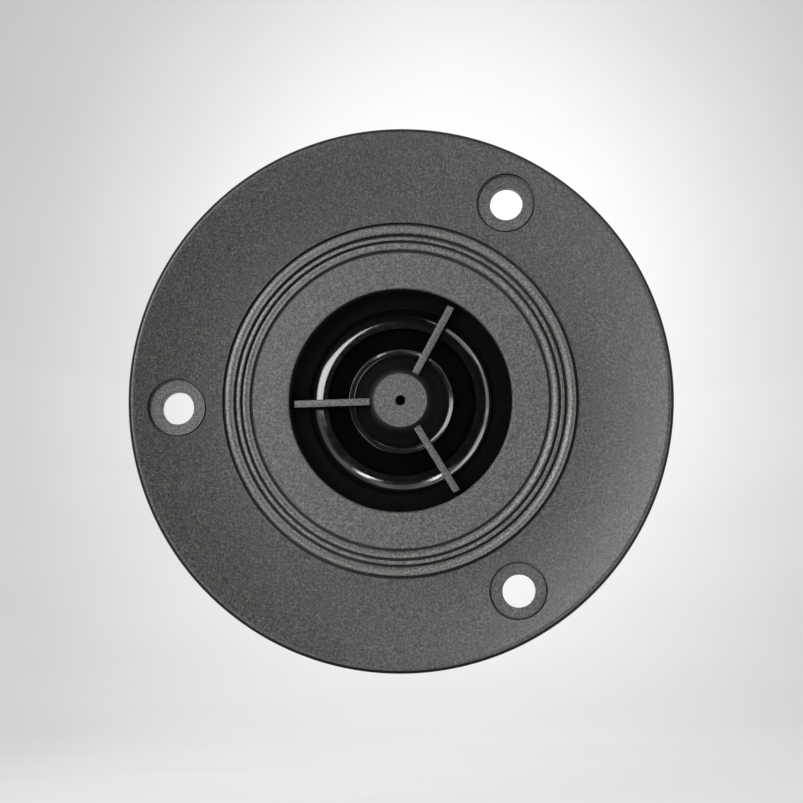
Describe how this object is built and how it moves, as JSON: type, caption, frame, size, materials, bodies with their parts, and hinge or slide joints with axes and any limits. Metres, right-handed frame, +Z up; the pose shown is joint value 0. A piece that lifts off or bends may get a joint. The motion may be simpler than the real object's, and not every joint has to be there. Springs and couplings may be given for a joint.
{
  "type": "car tweeter",
  "caption": "Flange-mounted car tweeter: dome driver on a ring magnet behind a textured round faceplate with a three-armed phase plug.",
  "frame": {"origin": "centre of the panel screw circle, on the flange's rear seat, on the driver's axis", "axes": "-Y out of the front of the tweeter, +Z up, +X to the right seen from the front"},
  "size_m": [0.074, 0.0209, 0.074],
  "materials": {
    "textured_plastic": "fine spark texture, dark grey",
    "gloss_plastic": "textured hub and arm tops, matt flank, gloss foot",
    "foam": "closed-cell foam",
    "matt_black_plastic": "smooth matt black",
    "gloss_film": "gloss formed film",
    "dome_film": "deep matt black coating",
    "coil_former": "amber polyimide film",
    "enamelled_copper": "enamelled wire",
    "solder": "dull solder",
    "plated_steel": "zinc plated",
    "bare_steel": "turned steel",
    "ferrite": "ground ferrite",
    "felt": "wool felt",
    "fibre_board": "phenolic board",
    "brass": "satin brass",
    "tinned_brass": "bright tin on brass",
    "screw_steel": "zinc plated"
  },
  "bodies": {
    "housing": {"faceplate": "textured_plastic", "mounting_gasket": "foam", "phase_plug": "gloss_plastic", "throat_gasket": "foam", "diaphragm_frame": "matt_black_plastic", "surround": "gloss_film", "coil_lead_positive": "enamelled_copper", "coil_lead_negative": "enamelled_copper", "solder_joints": "solder", "front_plate": "plated_steel", "magnet": "ferrite", "back_plate": "plated_steel", "pole_piece": "bare_steel", "damping_pad": "felt", "terminal_board": "fibre_board", "terminal_rivets": "brass", "terminal_tab_positive": "tinned_brass", "terminal_tab_negative": "tinned_brass", "motor_screws": "screw_steel"},
    "diaphragm": {"dome": "dome_film", "voice_coil_former": "coil_former", "voice_coil_winding": "enamelled_copper"}
  },
  "joints": [
    {"name": "diaphragm_travel", "type": "slide", "parent": "housing", "child": "diaphragm", "axis": [0, -1, 0], "range_m": [-0.0004, 0.0004], "stiffness_N_per_m": 20000, "deforming": ["surround", "coil_lead_positive", "coil_lead_negative"]}
  ]
}
